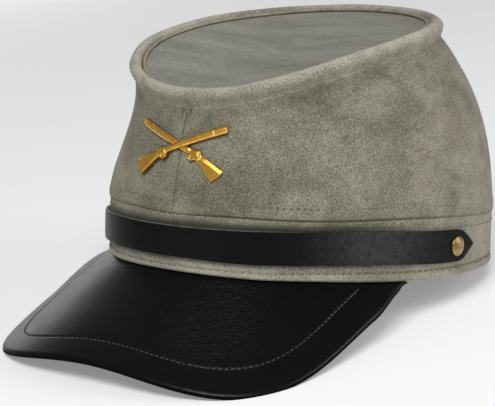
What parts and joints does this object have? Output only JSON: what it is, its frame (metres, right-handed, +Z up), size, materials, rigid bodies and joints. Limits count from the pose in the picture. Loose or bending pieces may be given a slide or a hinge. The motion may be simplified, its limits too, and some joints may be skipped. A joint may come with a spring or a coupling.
{
  "type": "leather cap",
  "caption": "Suede forage cap with a forward-leaning crown, sunken oval top, square leather visor, chin strap held by rivets and a crossed-rifles badge.",
  "frame": {"origin": "on the surface the cap rests on, under the middle of its width and length", "axes": "+Y from the visor to the back, +X to the wearer's left, +Z up from the surface"},
  "size_m": [0.1902, 0.2594, 0.128],
  "materials": {
    "suede": "matt napped grey suede",
    "panel_suede": "matt napped grey suede, cut from a smoother hide",
    "smooth_leather": "smooth black leather with a soft sheen",
    "gilt": "bright gilt",
    "aged_brass": "aged brass"
  },
  "bodies": {
    "root": {"band": "suede", "crown_side": "suede", "crown_top": "panel_suede", "top_welt": "suede", "visor": "smooth_leather", "chin_strap": "smooth_leather", "badge": "gilt", "rivet_left": "aged_brass", "rivet_right": "aged_brass"}
  },
  "joints": []
}
